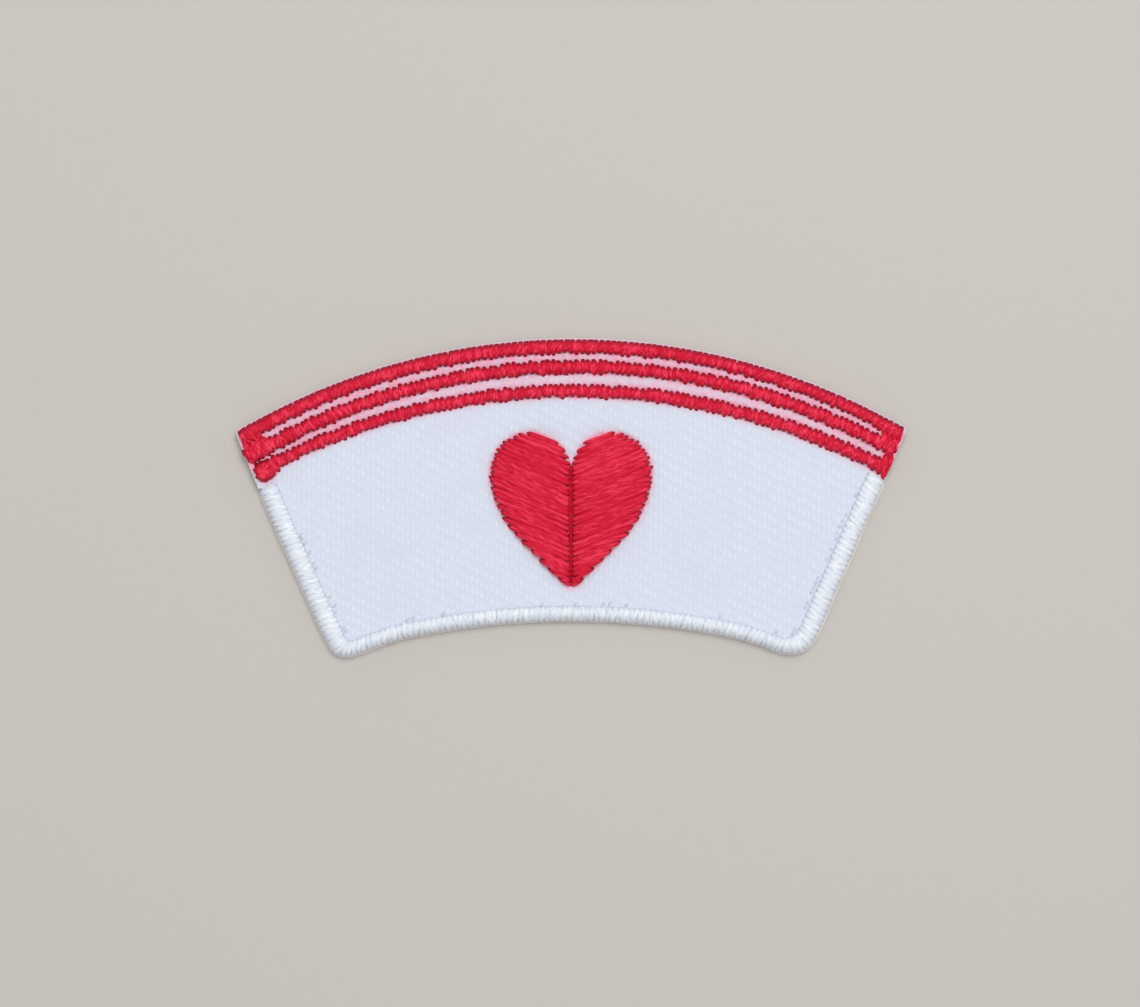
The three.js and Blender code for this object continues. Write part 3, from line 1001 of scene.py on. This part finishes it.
heartThread = dict(
    stripeThread,
    slant=math.radians(24),
    joins=0,
    pitch=0.4 * mm,
    reach=30 * mm,
    width=0.4 * mm,
    thickness=0.12 * mm,
    taper=0.3 * mm,
    nearTaper=0.3 * mm,
    endShare=0.2,
    bow=0.05 * mm,
    wave=0.012 * mm,
    roll=0.16,
    unevenness=0.016 * mm,
    alternate=0.012 * mm,
    nearEdge={"overhang": 0.19 * mm, "ragged": 0.03 * mm},
    farEdge={"overhang": 0.1 * mm, "ragged": 0.11 * mm},
    stray=0.05 * mm,
    # painted shade at both needle holes
    ends=[(0.6, 0.3 * mm), (0.95, 0.5 * mm)],
    endFall=0,
    endOverhang=0,
    coreDrop=0.08 * mm,
)
underlayThread = dict(
    heartThread,
    width=0.3 * mm,
    stepLength=0.6 * mm,
    # painted shade along the whole underlay, with a low tone below, so the furrow reads dark
    ends=[(0.35, 30 * mm), (0.35, 30 * mm)],
    offset=0.08 * mm,  # to each side of the furrow
    probe=0.15 * mm,  # inside the right half, where its height is looked for
    probeCount=60,
    shade=0.2,
)


def heartLines(node, side, thread):
    way = Vector((side * math.cos(thread["slant"]), math.sin(thread["slant"]), 0))
    climb = Vector((-way.y * side, way.x * side, 0))
    heights = [vert.co.dot(climb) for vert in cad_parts[node].data.vertices]
    low, high = min(heights), max(heights)
    count = round((high - low) / (thread["pitch"] / 2))
    reach = thread["reach"]
    lines = []
    for k in range(1, count):
        start = climb * between(low, high, k / count) - way * reach / 2
        lines.append((start, way, reach))
    return lines


def underlay(bm, marks):  # long straight stitches along the furrow, painted darker as its shade
    low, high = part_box("heart_right")
    furrow = (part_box("heart_left")[1].x + low.x) / 2
    thread = underlayThread
    probe = low.x + thread["probe"]
    heights = [between(low.y, high.y, k / thread["probeCount"]) for k in range(thread["probeCount"] + 1)]
    sewn = [y for y in heights if topOf("heart_right", Vector((probe, y, 0))) is not None]
    for offset in (-thread["offset"], thread["offset"]):
        start = Vector((furrow + offset, min(sewn), clothTop))
        end = Vector((furrow + offset, max(sewn), clothTop))
        path = domePath("twill_ground", start, end, thread, thread["thickness"] / 3, 0)
        layStitch(bm, marks, path, thread, thread["shade"], thread["ends"])


def heart(material):
    for node, side in (("heart_left", -1), ("heart_right", 1)):
        bm, marks = newMesh(threadMarks)
        sewnCore(bm, marks, node, heartThread)
        if side > 0:
            underlay(bm, marks)
        sew(bm, marks, node, needleHoles(node, heartLines(node, side, heartThread), heartThread), heartThread)
        sewnPiece(bm, node, material)


# The floor, the light and the camera

setting = {
    "floorColour": (0.60, 0.557, 0.516, 1),
    "floorGrainColour": (0.5, 0.47, 0.43, 1),
    "floorGrainScale": 900,
    "floorGrainShare": 0.1,
    "floorHalfSize": 1.5,
    "floorDrop": 0.02 * mm,  # below the patch's underside
    "skyColour": (0.96, 0.98, 1, 1),
    "skyStrength": 0.615,
    "lampPower": 0.92,
    "lampSize": 0.22,
    "lampPlace": (0.06, 0.14, 0.42),
}
shot = {
    "pixelWidth": 1140,
    "pixelHeight": 1007,
    "pixelSize": 0.08594 * mm,
    "middlePixel": (571, 497.5),  # where the patch's middle lies in the photograph
    "distance": 0.45,
    "sensor": 36,
    "clipStart": 0.01,
}


def floorFinish():
    finish = Finish("paleFloor")
    grain = finish.speckle(finish.place(), setting["floorGrainScale"], detail=3)
    share = grain * setting["floorGrainShare"]
    colour = finish.mix(share, setting["floorColour"], setting["floorGrainColour"])
    return finish.wear(Base_Color=colour, Roughness=0.9, Specular_IOR_Level=0.2)


def stage():
    bm = bmesh.new()
    bmesh.ops.create_grid(bm, x_segments=1, y_segments=1, size=setting["floorHalfSize"])
    mesh = bpy.data.meshes.new("floor")
    bm.to_mesh(mesh)
    bm.free()
    mesh.materials.append(floorFinish())
    floor = bpy.data.objects.new("floor", mesh)
    floor.location.z = -setting["floorDrop"]
    bpy.context.collection.objects.link(floor)


def lights():
    world = bpy.data.worlds.new("softRoom")
    world.use_nodes = True
    sky = world.node_tree.nodes["Background"].inputs
    sky["Color"].default_value = setting["skyColour"]
    sky["Strength"].default_value = setting["skyStrength"]
    bpy.context.scene.world = world
    data = bpy.data.lights.new("softLamp", "AREA")
    data.energy = setting["lampPower"]
    data.size = setting["lampSize"]
    lamp = bpy.data.objects.new("softLamp", data)
    lamp.location = setting["lampPlace"]
    lamp.rotation_euler = (-Vector(setting["lampPlace"])).to_track_quat("-Z", "Y").to_euler()
    bpy.context.collection.objects.link(lamp)


def camera():
    middleX, middleY = shot["middlePixel"]
    data = bpy.data.cameras.new("camera")
    data.sensor_width = shot["sensor"]
    data.lens = shot["sensor"] * shot["distance"] / (shot["pixelWidth"] * shot["pixelSize"])
    data.clip_start = shot["clipStart"]
    eye = bpy.data.objects.new("camera", data)
    eye.location = (
        (shot["pixelWidth"] / 2 - middleX) * shot["pixelSize"],
        (middleY - shot["pixelHeight"] / 2) * shot["pixelSize"],
        shot["distance"],
    )
    bpy.context.collection.objects.link(eye)
    bpy.context.scene.camera = eye


camera()
stage()
lights()
bpy.context.scene.view_settings.view_transform = "Standard"
print("stage, light and camera set")

whiteTwill = twillFinish()
redThread = threadFinish("redThread", redTones)
whiteThread = threadFinish("whiteThread", whiteTones)

ground, groundArea = twillGround(whiteTwill)
twillRibs(whiteTwill)
print("twill laid")
backing(filmFinish())
print("backing cut")
stripes(redThread)
border(whiteThread)
heart(threadFinish("redSatin", satinTones))
for shape in stitchShapes.values():
    bpy.data.meshes.remove(shape)
